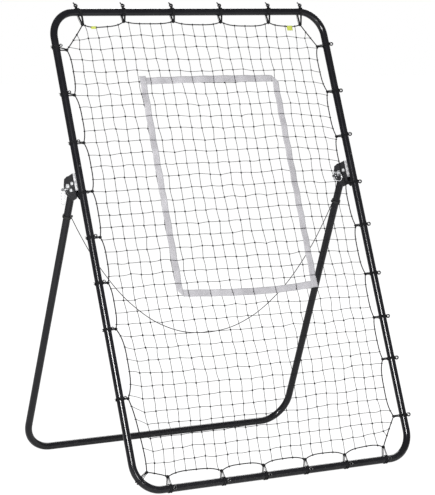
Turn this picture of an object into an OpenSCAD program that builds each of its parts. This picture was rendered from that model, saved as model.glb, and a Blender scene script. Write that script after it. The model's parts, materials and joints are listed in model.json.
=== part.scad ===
// Pitching target net: a leaning tube frame with a laced net and a marked strike zone,
// held up by a U-shaped rear stand that folds flat against it.
// Millimetres. X runs to the right, Y to the rear, Z up. The origin is on the floor,
// at the middle of the footprint.

/* [Tubes] */
// Outer diameter of every tube
tube_d = 25; // [23:1:28]
// Wall of every tube
tube_wall = 1.2; // [1:0.1:1.6]
// Length of the reduced end that slides into the next tube
spigot_l = 50; // [40:1:60]
// Radial play of a reduced end in the next tube
spigot_play = 0.1; // [0.1:0.05:0.2]

/* [Frame] */
// Width of the frame over its side tubes
frame_w = 1100; // [1000:10:1200]
// Length of the frame along its slope, over its rails
frame_l = 1640; // [1500:10:1750]
// Radius of the frame's corners, to the middle of the tube
frame_bend = 90; // [75:5:100]
// Lean of the frame from upright, in degrees
lean = 21; // [18:1:24]
// Length of the middle piece of the top and bottom rails
rail_l = 558; // [500:2:640]
// Height of the lower seam in each side tube, along the slope
low_seam = 690; // [560:5:760]
// Distance of the upper seam above the bracket
seam_above = 41; // [38:1:80]

/* [Stand] */
// Length of a leg, from its pivot to the middle of the foot rail
leg_l = 1018; // [990:1:1060]
// Length of a leg past its pivot
leg_over = 15; // [13:1:16]
// Lean of the legs from upright, in degrees
leg_lean = 21.8; // [20:0.2:24]
// Radius of the stand's corners, to the middle of the tube
stand_bend = 100; // [75:5:120]
// Height of the seam in each leg, along the leg
stand_seam = 450; // [350:5:600]

/* [Brackets] */
// Length of a bracket along the slope
bracket_l = 85; // [80:1:95]
// Thickness of the bracket's plate
plate_t = 2.5; // [2:0.1:3]
// Room between a leg and each ear of its bracket
ear_room = 1.5; // [1.3:0.1:2.5]
// Height of the relief below the bracket's web, where a net tie passes
web_relief = 26; // [24:1:30]
// Height of the pivot above the bracket's lower edge
pivot_up = 54; // [52:1:58]
// Distance of the pivot behind the tube's middle
pivot_back = 57.5; // [57:0.5:62]
// Diameter of the pivot bolt
pivot_d = 8; // [6:1:8]
// Diameter of the two bolts that tie the ears together
cross_d = 6; // [5:0.5:6]
// Distance of the upper tie bolt in front of the pivot
cross_ahead = 30.5; // [29:0.5:32]
// Distance of the lower tie bolt below the pivot
cross_below = 19; // [17:0.5:21]
// Gap between the folded leg and the lower tie bolt
fold_gap = 1; // [0.5:0.5:2]
// Margin of plate outside the row of index holes
ear_margin = 4.5; // [4:0.5:6]

/* [Lock pins] */
// Diameter of a lock pin
pin_d = 6; // [5:0.5:6.5]
// Radial play of a pin in the ears, and of a leg on its pivot bolt
pin_play = 0.08; // [0.05:0.01:0.1]
// Distance of the lock pin down the leg from the pivot
stop_drop = 20; // [18:0.5:22]
// Gap between a leg and the pin that it rests on
stop_gap = 0.2; // [0.1:0.1:0.3]
// Angle between two index holes about the pivot
index_step = 20; // [19:1:24]
// Diameter of a pin's head
head_d = 12; // [10:0.5:13]
// Length of a pin's head
head_l = 11; // [11:0.5:14]
// Diameter of the wire of a pull ring
ring_wire = 2.4; // [2:0.1:3]
// Width of a pull ring, to the middle of its wire
ring_w = 26; // [22:1:30]
// Length of a pull ring from its pivot, to the middle of its wire
ring_l = 50; // [40:1:55]

/* [Snap buttons] */
// Diameter of a snap button
button_d = 7; // [6:0.5:8]
// Height of a button above its tube
button_out = 3; // [2:0.5:4]
// Distance of a button from the seam
button_at = 25; // [20:1:28]

/* [Net] */
// Distance of the border rope from the middle of the tubes
rope_inset = 38; // [35:1:45]
// Diameter of the border rope
rope_d = 4; // [3:0.5:6]
// Dip of the rope between two ties, as a share of the span
rope_dip = 0.075; // [0.04:0.005:0.12]
// Dip of the rope across a corner, as a share of the span
corner_dip = 0.03; // [0.02:0.005:0.08]
// Thickness of the net's twine
twine_d = 2; // [1.5:0.1:2.5]
// Gaps across the net
mesh_cols = 14; // [8:1:14]
// Gaps up the net
mesh_rows = 21; // [12:1:21]
// Width of the strike zone over its ribbons
zone_w = 550; // [400:5:600]
// Height of the strike zone over its ribbons
zone_h = 770; // [600:5:800]
// Place of the strike zone's middle, to the right of the frame's middle
zone_x = 27; // [-60:1:60]
// Height of the strike zone's middle, along the slope
zone_s = 997; // [900:1:1050]
// Width of the ribbon
ribbon_w = 24; // [20:1:40]
// Thickness of the ribbon
ribbon_t = 0.7; // [0.5:0.1:1]
// Width of a blank tag on the border rope
tag_w = 16; // [10:1:35]
// Height of a blank tag
tag_h = 10; // [6:1:14]

/* [Ties] */
// Width of a tie
tie_w = 4; // [3:0.5:5]
// Thickness of a tie
tie_t = 2.2; // [1.5:0.1:2.5]
// Outer diameter of a tie's end ring
eye_d = 15; // [12:0.5:18]
// Hole of a tie's end ring
eye_hole = 6; // [5:0.5:8]
// Thickness of a tie's end ring
eye_t = 4; // [3:0.5:5]

/* [Hanging cord] */
// Diameter of the cord that hangs between the legs
cord_d = 2; // [1.5:0.5:2]
// Distance of the cord's collars down the legs from the pivot
cord_drop = 112; // [100:1:120]
// Height of a collar along the leg
collar_h = 8; // [6:1:12]
// Thickness of a collar
collar_t = 3; // [2:0.5:4]

/* [Hidden] */
$fn = 72;

BLACK = [0.08, 0.08, 0.09];
ZINC = [0.78, 0.79, 0.8];
RIBBON = [0.74, 0.73, 0.77];

// Where the net is tied, as shares of the half width and of the height between the tubes' middles.
TOP_TIES = [-0.81, -0.49, -0.13, 0.22, 0.59, 0.83];
RIGHT_TIES = [0.923, 0.816, 0.712, 0.6085, 0.511, 0.402, 0.305, 0.213, 0.089];
BOTTOM_TIES = [0.815, 0.521, 0.214, -0.084, -0.381, -0.767];
LEFT_TIES = [0.187, 0.33, 0.425, 0.5195, 0.6105, 0.719, 0.825, 0.923];

tube_r = tube_d / 2;
bore_r = tube_r - tube_wall;
spigot_r = bore_r - spigot_play;
spigot_bore_r = spigot_r - tube_wall;
neck_l = 3;      // thick ring where a tube steps down to its reduced end
rim = 0.5;       // bevel on the ends of the straight tubes
soft_gap = 0.3;  // room between a soft piece and what it goes round
cut = 1;         // how far a cutting shape runs past the surface

half_w = (frame_w - tube_d) / 2;
slope_l = frame_l - tube_d;
tie_r = tube_r + soft_gap + tie_t;   // outer radius of a tie round its tube
axis_z = tie_r;                      // the frame stands on the ties round its bottom rail

web_n = tube_r + 0.2;                // front face of the web, just behind the tube
ear_in = tube_r + ear_room;          // inner face of an ear
ear_out = ear_in + plate_t;
pivot_n = pivot_back;

// The foot rail lies on the floor, so the legs give the pivot's height, and the brackets follow it.
pivot_z = tube_r + leg_l * cos(leg_lean);
pivot_s = (pivot_z - axis_z + pivot_n * sin(lean)) / cos(lean);
pivot_y = pivot_s * sin(lean) + pivot_n * cos(lean);
foot_y = pivot_y + leg_l * sin(leg_lean);
bracket_low = pivot_s - pivot_up;
bracket_top = bracket_low + bracket_l;
web_low = bracket_low + web_relief;
high_seam = bracket_top + seam_above;
fold_angle = lean + leg_lean;        // between a leg and its side tube

// Front and rear reach of the object, so that the origin is at the middle of its footprint.
front_reach = (tie_r + soft_gap + eye_t) * cos(lean) + eye_d / 2 * sin(lean);
frame_y = -(foot_y + tube_r - front_reach) / 2;

// Index holes lie on a circle about the pivot, and the leg rests on the pin in the first one.
stop_off = tube_r + pin_d / 2 + stop_gap;
index_r = norm([stop_drop, stop_off]);
index_a = fold_angle + atan2(stop_off, stop_drop);
ear_r = index_r + pin_d / 2 + ear_margin;
function index_hole(k) = [pivot_n + index_r * sin(index_a - k * index_step),
                          pivot_s - index_r * cos(index_a - k * index_step)];
INDEX_KEYS = [0, 1, 2, -1];
pin_at = index_hole(0);
function about_pivot(r, a) = [pivot_n + r * sin(a), pivot_s - r * cos(a)];

// The bolts that tie the ears together: one above, one where the folded leg comes to rest.
cross_hi = [pivot_n - cross_ahead, pivot_s];
cross_lo = [pivot_n - tube_r - cross_d / 2 - fold_gap, pivot_s - cross_below];

// Hexagons of the bolts, across flats, and heights of heads and nuts.
pivot_af = 1.625 * pivot_d;
pivot_head_h = 0.66 * pivot_d;
pivot_nut_h = 0.9 * pivot_d;
cross_af = 1.67 * cross_d;
cross_head_h = 0.66 * cross_d;
cross_nut_h = 0.9 * cross_d;
bolt_tail = 2;   // thread past a nut

pin_tail = 7;
collar_on_pin = 2;   // flange of the pin that rests on the ear
hinge_out = head_l - 3.4;
ring_arc = ring_w / 2;

rope_r = rope_d / 2;
eye_clear = 0.7;
rope_eye_r = rope_r + eye_clear + tie_t;

// Tie points of the border rope, and the way it runs there: clockwise round the net from the front.
top_points = [for (k = TOP_TIES) [k * half_w, slope_l - rope_inset]];
right_points = [for (k = RIGHT_TIES) [half_w - rope_inset, k * slope_l]];
bottom_points = [for (k = BOTTOM_TIES) [k * half_w, rope_inset]];
left_points = [for (k = LEFT_TIES) [-half_w + rope_inset, k * slope_l]];
corner_out = frame_bend - frame_bend * cos(45);   // how far the bend cuts in from the sharp corner
corner_tube = [-half_w + corner_out, corner_out];
corner_point = corner_tube + rope_inset * [cos(45), sin(45)];
TIES = concat([for (p = top_points) [p, 0]], [for (p = right_points) [p, -90]],
              [for (p = bottom_points) [p, 180]], [[corner_point, 135]], [for (p = left_points) [p, 90]]);

// The rope runs straight through each tie, and dips inwards in the middle of each span.
ROPE = [for (i = [0 : len(TIES) - 1])
           let (p = TIES[i][0], q = TIES[(i + 1) % len(TIES)][0], span = q - p,
                run = tie_w * [cos(TIES[i][1]), sin(TIES[i][1])],
                dip = TIES[i][1] == TIES[(i + 1) % len(TIES)][1] ? rope_dip : corner_dip)
           each [p - run, p + run, (p + q) / 2 + dip * [span[1], -span[0]]]];

// A tube of `sides` sides round a flat closed loop of points, which lies in the XY plane.
module closed_tube(loop, r, sides) {
    n = len(loop);
    function along(i) = let (v = loop[(i + 1) % n] - loop[(i + n - 1) % n]) v / norm(v);
    rings = [for (i = [0 : n - 1]) for (k = [0 : sides - 1])
                let (t = along(i), a = 360 * k / sides)
                [loop[i][0] - t[1] * r * cos(a), loop[i][1] + t[0] * r * cos(a), r * sin(a)]];
    faces = [for (i = [0 : n - 1]) for (k = [0 : sides - 1])
                let (p = i * sides + k, q = i * sides + (k + 1) % sides,
                     u = ((i + 1) % n) * sides + k, v = ((i + 1) % n) * sides + (k + 1) % sides)
                each [[p, v, u], [p, q, v]]];
    polyhedron(rings, faces, convexity = 6);
}

// A tube of `sides` sides along an open path that lies in a plane of constant Y.
module open_tube(path, r, sides) {
    n = len(path);
    function along(i) = let (v = path[min(i + 1, n - 1)] - path[max(i - 1, 0)]) v / norm(v);
    rings = [for (i = [0 : n - 1]) for (k = [0 : sides - 1])
                let (t = along(i), a = 360 * k / sides)
                path[i] + r * [-t[2] * cos(a), sin(a), t[0] * cos(a)]];
    sleeve = [for (i = [0 : n - 2]) for (k = [0 : sides - 1])
                let (p = i * sides + k, q = i * sides + (k + 1) % sides)
                each [[p, q + sides, q], [p, p + sides, q + sides]]];
    near_end = [for (k = [1 : sides - 2]) [0, k, k + 1]];
    far_end = [for (k = [1 : sides - 2]) [(n - 1) * sides, (n - 1) * sides + k + 1, (n - 1) * sides + k]];
    polyhedron(rings, concat(sleeve, near_end, far_end), convexity = 6);
}

// Route of the hanging cord, from the left leg to the right one, in one upright plane.
CORD_Y = 68;
CORD_HALF = [[524, 853], [516, 838], [500, 808], [480, 773], [450, 724], [420, 681], [385, 636],
             [350, 595], [315, 560], [280, 530], [240, 500], [200, 475], [160, 456], [120, 441],
             [80, 431], [40, 426]];
CORD_LOW = 424;
CORD = concat([for (p = CORD_HALF) [-p[0], CORD_Y, p[1]]], [[0, CORD_Y, CORD_LOW]],
              [for (i = [len(CORD_HALF) - 1 : -1 : 0]) [CORD_HALF[i][0], CORD_Y, CORD_HALF[i][1]]]);
CORD_STEPS = 2;   // rings for each stretch between two points of the route
function bend_between(p, i, t) =
    let (a = p[max(i - 1, 0)], b = p[i], c = p[i + 1], d = p[min(i + 2, len(p) - 1)])
    0.5 * (2 * b + (c - a) * t + (2 * a - 5 * b + 4 * c - d) * t * t + (3 * b - a - 3 * c + d) * t * t * t);
function smooth(p, steps) =
    concat([for (i = [0 : len(p) - 2]) for (k = [0 : steps - 1]) bend_between(p, i, k / steps)],
           [p[len(p) - 1]]);

// ---- frames of reference ----

// The frame's plane: X to the right, Y up the slope from the bottom rail, Z towards the front.
module on_frame() { translate([0, frame_y, axis_z]) rotate([90 - lean, 0, 0]) children(); }

// The stand's plane: X to the right, Y up the legs from the foot rail, Z towards the front.
module on_stand() { translate([0, frame_y + foot_y, tube_r]) rotate([90 + leg_lean, 0, 0]) children(); }

// A side view of the frame: X is the distance behind its plane, Y up the slope, Z to the right.
module side_view(x) { on_frame() translate([x, 0, 0]) rotate([0, 90, 0]) children(); }

// ---- tubes ----

// A tube along X, from x1 to x2, with eased rims.
module straight_tube(x1, x2) {
    translate([x1, 0, 0]) rotate([0, 90, 0]) difference() {
        rotate_extrude() polygon([[0, 0], [tube_r - rim, 0], [tube_r, rim], [tube_r, x2 - x1 - rim],
                                  [tube_r - rim, x2 - x1], [0, x2 - x1]]);
        translate([0, 0, -cut]) cylinder(r = bore_r, h = x2 - x1 + 2 * cut);
    }
}

module button_hole() { cylinder(r = button_d / 2 + pin_play, h = tube_r + cut); }

// One arm of a corner along Z: the full tube, then its reduced end.
module arm_body(from, to) {
    translate([0, 0, from]) cylinder(r = tube_r, h = to - from);
    translate([0, 0, to]) cylinder(r = spigot_r, h = spigot_l);
}

module arm_bore(from, to) {
    translate([0, 0, from]) cylinder(r = bore_r, h = to - from - neck_l);
    translate([0, 0, to - neck_l]) cylinder(r = spigot_bore_r, h = spigot_l + neck_l + cut);
}

module quarter_bend(bend, r) {
    translate([bend, bend, 0]) rotate([0, 0, 180]) rotate_extrude(angle = 90)
        translate([bend, 0]) circle(r = r);
}

// A bent tube: one arm along X and one along Y from the sharp corner, each with a reduced end.
module corner_tube(arm_x, arm_y, bend) {
    difference() {
        union() {
            rotate([0, 90, 0]) arm_body(bend, arm_x);
            rotate([-90, 0, 0]) arm_body(bend, arm_y);
            quarter_bend(bend, tube_r);
        }
        union() {
            rotate([0, 90, 0]) arm_bore(bend, arm_x);
            rotate([-90, 0, 0]) arm_bore(bend, arm_y);
            quarter_bend(bend, bore_r);
        }
    }
}

module corner_top(side) {
    color(BLACK) on_frame() translate([side * half_w, slope_l, 0]) mirror([side > 0 ? 1 : 0, 0, 0])
        difference() {
            mirror([0, 1, 0]) corner_tube(half_w - rail_l / 2, slope_l - high_seam, frame_bend);
            translate([0, high_seam - slope_l - button_at, 0]) button_hole();
        }
}

module corner_bottom(side) {
    color(BLACK) on_frame() translate([side * half_w, 0, 0]) mirror([side > 0 ? 1 : 0, 0, 0])
        difference() {
            corner_tube(half_w - rail_l / 2, low_seam, frame_bend);
            translate([0, low_seam + button_at, 0]) rotate([0, 180, 0]) button_hole();
        }
}

module corner_top_left() corner_top(-1);
module corner_top_right() corner_top(1);
module corner_bottom_left() corner_bottom(-1);
module corner_bottom_right() corner_bottom(1);

module side_tube(side) {
    color(BLACK) on_frame() translate([side * half_w, 0, 0]) difference() {
        rotate([0, 0, 90]) straight_tube(low_seam, high_seam);
        translate([0, high_seam - button_at, 0]) button_hole();
        translate([0, low_seam + button_at, 0]) rotate([0, 180, 0]) button_hole();
    }
}

module side_tube_left() side_tube(-1);
module side_tube_right() side_tube(1);

module top_rail() color(BLACK) on_frame() translate([0, slope_l, 0]) straight_tube(-rail_l / 2, rail_l / 2);
module bottom_rail() color(BLACK) on_frame() straight_tube(-rail_l / 2, rail_l / 2);

// ---- stand ----

module leg(side) {
    color(BLACK) on_stand() translate([side * half_w, 0, 0]) difference() {
        rotate([0, 0, 90]) straight_tube(stand_seam, leg_l + leg_over);
        translate([-tube_r - cut, leg_l, 0]) rotate([0, 90, 0])
            cylinder(r = pivot_d / 2 + pin_play, h = tube_d + 2 * cut);
        translate([0, stand_seam + button_at, 0]) rotate([0, 180, 0]) button_hole();
    }
}

module stand_corner(side) {
    color(BLACK) on_stand() translate([side * half_w, 0, 0]) mirror([side > 0 ? 1 : 0, 0, 0])
        difference() {
            corner_tube(half_w - rail_l / 2, stand_seam, stand_bend);
            translate([0, stand_seam + button_at, 0]) rotate([0, 180, 0]) button_hole();
        }
}

module leg_left() leg(-1);
module leg_right() leg(1);
module stand_corner_left() stand_corner(-1);
module stand_corner_right() stand_corner(1);
module stand_rail() color(BLACK) on_stand() straight_tube(-rail_l / 2, rail_l / 2);

// A plug that closes the top of a leg and keeps the pivot bolt from crushing it.
module leg_plugs() {
    plug_l = 2 * leg_over;
    lip_h = 2;
    color([0.05, 0.05, 0.05]) on_stand() for (side = [-1, 1])
        translate([side * half_w, leg_l, 0]) difference() {
            rotate([-90, 0, 0]) {
                translate([0, 0, leg_over - plug_l]) cylinder(r = bore_r - spigot_play, h = plug_l);
                translate([0, 0, leg_over]) cylinder(r = tube_r, h = lip_h);
            }
            translate([-tube_r - cut, 0, 0]) rotate([0, 90, 0])
                cylinder(r = pivot_d / 2 + pin_play, h = tube_d + 2 * cut);
        }
}

// ---- brackets and their bolts ----

module hexagon(across_flats, h) { cylinder(d = across_flats / cos(30), h = h, $fn = 6); }

module ear_outline() {
    polygon([[web_n, bracket_top], [web_n, web_low], [tie_r + 1.5, web_low], [tie_r + 1.5, bracket_low],
             [pivot_n - 9, bracket_low], about_pivot(ear_r, 32), [pivot_n, pivot_s],
             about_pivot(ear_r, 115), [pivot_n + 20, bracket_top]]);
    translate([pivot_n, pivot_s]) circle(r = ear_r);
}

module ear(z) {
    translate([0, 0, z]) difference() {
        linear_extrude(plate_t) ear_outline();
        translate([pivot_n, pivot_s, -cut]) cylinder(r = pivot_d / 2 + pin_play, h = plate_t + 2 * cut);
        for (p = [cross_hi, cross_lo])
            translate([p[0], p[1], -cut]) cylinder(r = cross_d / 2 + pin_play, h = plate_t + 2 * cut);
        for (k = INDEX_KEYS) let (p = index_hole(k))
            translate([p[0], p[1], -cut]) cylinder(r = pin_d / 2 + pin_play, h = plate_t + 2 * cut);
    }
}

// A channel: its web stands against the back of the side tube, and its two ears hold the leg.
module bracket(side) {
    color(BLACK) side_view(side * half_w) {
        ear(-ear_out);
        ear(ear_in);
        translate([web_n, web_low, -ear_in]) cube([plate_t, bracket_top - web_low, 2 * ear_in]);
    }
}

module bracket_left() bracket(-1);
module bracket_right() bracket(1);

module each_bracket() { for (side = [-1, 1]) side_view(side * half_w) children(); }

module pivot_bolts() {
    shank = 2 * ear_out + pivot_nut_h + bolt_tail;
    color(ZINC) each_bracket() translate([pivot_n, pivot_s, -ear_out]) {
        translate([0, 0, -pivot_head_h]) hexagon(pivot_af, pivot_head_h);
        cylinder(d = pivot_d, h = shank);
    }
}

module nut(across_flats, h, bolt_d) {
    difference() {
        hexagon(across_flats, h);
        translate([0, 0, -cut]) cylinder(r = bolt_d / 2 + pin_play, h = h + 2 * cut);
    }
}

module pivot_nuts() {
    color(ZINC) each_bracket() translate([pivot_n, pivot_s, ear_out]) nut(pivot_af, pivot_nut_h, pivot_d);
}

// Nylon washers that keep the leg off the ears.
module pivot_washers() {
    side_play = 0.15;
    washer_t = ear_room - 2 * side_play;
    color([0.9, 0.9, 0.88]) each_bracket() for (z = [-ear_in + side_play, tube_r + side_play])
        translate([pivot_n, pivot_s, z]) difference() {
            cylinder(d = 2 * pivot_d, h = washer_t);
            translate([0, 0, -cut]) cylinder(r = pivot_d / 2 + pin_play, h = washer_t + 2 * cut);
        }
}

module cross_bolts() {
    shank = 2 * ear_out + cross_nut_h + bolt_tail;
    color(ZINC) each_bracket() for (p = [cross_hi, cross_lo]) translate([p[0], p[1], -ear_out]) {
        translate([0, 0, -cross_head_h]) hexagon(cross_af, cross_head_h);
        cylinder(d = cross_d, h = shank);
    }
}

module cross_nuts() {
    color(ZINC) each_bracket() for (p = [cross_hi, cross_lo])
        translate([p[0], p[1], ear_out]) nut(cross_af, cross_nut_h, cross_d);
}

// ---- lock pins and their pull rings ----

// A pin through both ears, with a head that carries its pull ring across a hole. The ring hangs
// along `ring_a`, turned in the ear's plane from straight down the slope towards the rear.
module lock_pin(side, ring_a) {
    color(ZINC) side_view(side * half_w) translate([pin_at[0], pin_at[1], -ear_out]) difference() {
        union() {
            cylinder(d = pin_d, h = 2 * ear_out + pin_tail);
            translate([0, 0, -collar_on_pin]) cylinder(d = head_d, h = collar_on_pin);
            translate([0, 0, -head_l]) cylinder(d = head_d - 2, h = head_l);
        }
        translate([0, 0, -hinge_out]) rotate([0, 0, ring_a]) rotate([0, 90, 0])
            translate([0, 0, -head_d]) cylinder(r = ring_wire / 2 + pin_play, h = 2 * head_d);
    }
}

// A closed wire ring: a bar through the pin's head, two straight sides and a round end.
module pull_ring(side, ring_a) {
    reach = ring_l - ring_arc;
    color(ZINC) side_view(side * half_w)
        translate([pin_at[0], pin_at[1], -ear_out - hinge_out]) rotate([0, 0, ring_a]) {
            translate([-ring_arc, 0, 0]) rotate([0, 90, 0]) cylinder(d = ring_wire, h = ring_w);
            for (x = [-ring_arc, ring_arc]) {
                translate([x, 0, 0]) rotate([90, 0, 0]) cylinder(d = ring_wire, h = reach);
                translate([x, 0, 0]) sphere(d = ring_wire);
            }
            translate([0, -reach, 0]) rotate([0, 0, 180]) rotate_extrude(angle = 180)
                translate([ring_arc, 0]) circle(d = ring_wire);
        }
}

// The left ring hangs straight down. The right one points forward, just below level.
left_ring_a = lean;
right_ring_a = -66;
module lock_pin_left() lock_pin(-1, left_ring_a);
module lock_pin_right() lock_pin(1, right_ring_a);
module pull_ring_left() pull_ring(-1, left_ring_a);
module pull_ring_right() pull_ring(1, right_ring_a);

// ---- snap buttons ----

// A round button on a folded leaf spring, inside the reduced end of a tube. The button points
// along Z, and the tube runs along Y.
module snap_button() {
    leaf_t = 0.8;
    leaf_w = 8;
    flat = sqrt(pow(spigot_bore_r - 0.2, 2) - pow(leaf_w / 2, 2));
    low = button_out + 0.5 - flat + leaf_t;
    half = leaf_t / 2;
    color(ZINC) {
        translate([0, 0, flat - half]) cylinder(d = button_d, h = tube_r + button_out - flat + half);
        rotate([90, 0, 90]) translate([0, 0, -leaf_w / 2]) linear_extrude(leaf_w)
            polygon([[-7, flat], [8, flat], [24, 2 + half], [24, 2 - half], [8, low], [-7, low],
                     [-7, low + leaf_t], [7.8, low + leaf_t], [21, 2], [7.8, flat - leaf_t],
                     [-7, flat - leaf_t]]);
    }
}

module snap_button_high(side) on_frame() translate([side * half_w, high_seam - button_at, 0]) snap_button();
module snap_button_low(side)
    on_frame() translate([side * half_w, low_seam + button_at, 0]) rotate([0, 180, 0]) snap_button();
module snap_button_leg(side)
    on_stand() translate([side * half_w, stand_seam + button_at, 0]) rotate([0, 180, 0]) snap_button();

module snap_button_high_left() snap_button_high(-1);
module snap_button_high_right() snap_button_high(1);
module snap_button_low_left() snap_button_low(-1);
module snap_button_low_right() snap_button_low(1);
module snap_button_leg_left() snap_button_leg(-1);
module snap_button_leg_right() snap_button_leg(1);

// ---- net ----

// Twine of the net, cut to the line of the border rope and round the ties that hold the rope.
module net_mesh() {
    net_w = 2 * (half_w - rope_inset);
    net_h = slope_l - 2 * rope_inset;
    color(BLACK) on_frame() translate([0, 0, -twine_d / 2]) linear_extrude(twine_d) difference() {
        intersection() {
            polygon(ROPE);
            union() {
                for (i = [1 : mesh_cols - 1])
                    translate([-net_w / 2 + i * net_w / mesh_cols - twine_d / 2, 0])
                        square([twine_d, slope_l]);
                for (i = [1 : mesh_rows - 1])
                    translate([-half_w, rope_inset + i * net_h / mesh_rows - twine_d / 2])
                        square([2 * half_w, twine_d]);
            }
        }
        for (t = TIES) translate(t[0]) rotate(t[1] + 90)
            square([2 * (rope_eye_r + soft_gap), tie_w + 2 * soft_gap], center = true);
    }
}

module border_rope() color(BLACK) on_frame() closed_tube(ROPE, rope_r, 8);

// Ribbons lie on the front of the net, the upright ones over the level ones.
ribbon_z = twine_d / 2 + soft_gap;
module ribbon(x, s, w, h, layer) {
    color(RIBBON) on_frame() translate([x, s, ribbon_z + layer * (ribbon_t + soft_gap)])
        cube([w, h, ribbon_t]);
}
zone_left = zone_x - zone_w / 2;
zone_low = zone_s - zone_h / 2;
module zone_ribbon_top() ribbon(zone_left, zone_low + zone_h - ribbon_w, zone_w, ribbon_w, 0);
module zone_ribbon_bottom() ribbon(zone_left, zone_low, zone_w, ribbon_w, 0);
module zone_ribbon_left() ribbon(zone_left, zone_low, ribbon_w, zone_h, 1);
module zone_ribbon_right() ribbon(zone_left + zone_w - ribbon_w, zone_low, ribbon_w, zone_h, 1);

// Blank tags on the border rope, beside the outer ties of the top rail.
module rope_tags() {
    tag_t = 0.8;
    color([0.75, 0.8, 0.2]) on_frame() for (x = [-0.735 * half_w, 0.745 * half_w])
        translate([x - tag_w / 2, slope_l - rope_inset - tag_h - rope_d * 2, rope_r + soft_gap])
            cube([tag_w, tag_h + rope_d * 2, tag_t]);
}

// ---- ties ----

// An elastic loop round a tube and round the rope. X points from the tube to the rope.
module tie() {
    strap_l = rope_inset - tie_r - rope_eye_r + 2 * tie_t * 0.8;
    color(BLACK) difference() {
        union() {
            rotate([90, 0, 0]) cylinder(r = tie_r, h = tie_w, center = true);
            translate([rope_inset, 0, 0]) rotate([90, 0, 0]) cylinder(r = rope_eye_r, h = tie_w, center = true);
            translate([tie_r - tie_t * 0.8, -tie_w / 2, -tie_t]) cube([strap_l, tie_w, 2 * tie_t]);
        }
        rotate([90, 0, 0]) cylinder(r = tube_r + soft_gap, h = tie_w + 2 * cut, center = true);
        translate([rope_inset, 0, 0]) rotate([90, 0, 0])
            cylinder(r = rope_r + eye_clear, h = tie_w + 2 * cut, center = true);
    }
}

module ties_top() on_frame() for (p = top_points) translate([p[0], slope_l, 0]) rotate([0, 0, -90]) tie();
module ties_right() on_frame() for (p = right_points) translate([half_w, p[1], 0]) rotate([0, 0, 180]) tie();
module ties_bottom() on_frame() {
    for (p = bottom_points) translate([p[0], 0, 0]) rotate([0, 0, 90]) tie();
    translate(corner_tube) rotate([0, 0, 45]) tie();
}
module ties_left() on_frame() for (p = left_points) translate([-half_w, p[1], 0]) tie();

module end_ring() {
    difference() {
        cylinder(d = eye_d, h = eye_t, center = true);
        cylinder(d = eye_hole, h = eye_t + 2 * cut, center = true);
    }
}

// End rings stand outside the top and right tubes, and on the front of the others.
module tie_rings() {
    out = tie_r + soft_gap + eye_d / 2;
    front = tie_r + soft_gap + eye_t / 2;
    color(BLACK) on_frame() {
        for (p = top_points) translate([p[0], slope_l + out, 0]) end_ring();
        for (p = right_points) translate([half_w + out, p[1], 0]) end_ring();
        for (p = bottom_points) translate([p[0], 0, front]) end_ring();
        for (p = left_points) translate([-half_w, p[1], front]) end_ring();
        translate([corner_tube[0], corner_tube[1], front]) end_ring();
    }
}

// ---- hanging cord ----

module hanging_cord() color(BLACK) open_tube(smooth(CORD, CORD_STEPS), cord_d / 2, 8);

// Collars round the legs, each with a lug that the end of the cord goes into.
module cord_collars() {
    lug_l = 4;
    color(BLACK) on_stand() for (side = [-1, 1]) translate([side * half_w, leg_l - cord_drop, 0]) {
        rotate([-90, 0, 0]) difference() {
            union() {
                translate([0, 0, -collar_h / 2]) cylinder(r = tube_r + soft_gap + collar_t, h = collar_h);
                rotate([0, -side * 90, 0]) cylinder(d = collar_h, h = tube_r + collar_t + lug_l);
            }
            translate([0, 0, -collar_h]) cylinder(r = tube_r + soft_gap, h = 2 * collar_h);
        }
    }
}

corner_top_left();
corner_top_right();
corner_bottom_left();
corner_bottom_right();
side_tube_left();
side_tube_right();
top_rail();
bottom_rail();
bracket_left();
bracket_right();
pivot_bolts();
pivot_nuts();
pivot_washers();
cross_bolts();
cross_nuts();
leg_left();
leg_right();
stand_corner_left();
stand_corner_right();
stand_rail();
leg_plugs();
lock_pin_left();
lock_pin_right();
pull_ring_left();
pull_ring_right();
snap_button_high_left();
snap_button_high_right();
snap_button_low_left();
snap_button_low_right();
snap_button_leg_left();
snap_button_leg_right();
net_mesh();
border_rope();
zone_ribbon_top();
zone_ribbon_bottom();
zone_ribbon_left();
zone_ribbon_right();
ties_top();
ties_right();
ties_bottom();
ties_left();
tie_rings();
rope_tags();
hanging_cord();
cord_collars();
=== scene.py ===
import json
import math
from collections import namedtuple

import bpy
import numpy as np
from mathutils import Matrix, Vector


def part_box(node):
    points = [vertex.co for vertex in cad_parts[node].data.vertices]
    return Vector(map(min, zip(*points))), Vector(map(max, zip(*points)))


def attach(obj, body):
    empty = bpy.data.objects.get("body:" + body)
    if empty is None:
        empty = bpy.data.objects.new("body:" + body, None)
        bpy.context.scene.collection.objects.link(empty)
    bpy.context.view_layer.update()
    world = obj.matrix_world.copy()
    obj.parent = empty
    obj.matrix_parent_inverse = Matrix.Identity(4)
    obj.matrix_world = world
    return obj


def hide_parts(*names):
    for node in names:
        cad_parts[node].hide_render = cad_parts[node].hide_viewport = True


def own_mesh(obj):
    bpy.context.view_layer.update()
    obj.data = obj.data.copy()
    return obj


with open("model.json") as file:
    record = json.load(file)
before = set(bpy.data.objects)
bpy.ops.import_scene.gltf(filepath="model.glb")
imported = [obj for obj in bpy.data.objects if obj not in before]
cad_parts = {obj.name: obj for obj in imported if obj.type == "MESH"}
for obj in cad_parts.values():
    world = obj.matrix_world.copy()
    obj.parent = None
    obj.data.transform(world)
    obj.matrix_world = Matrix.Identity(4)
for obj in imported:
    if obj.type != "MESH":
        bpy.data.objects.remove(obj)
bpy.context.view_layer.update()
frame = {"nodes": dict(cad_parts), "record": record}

# Everything is in metres. A place on the leaning frame is (x, s, front): x to the right, s up the
# slope from the middle of the bottom rail, front out of the frame's plane.


def centre(node):
    low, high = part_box(node)
    return (low + high) / 2


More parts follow.
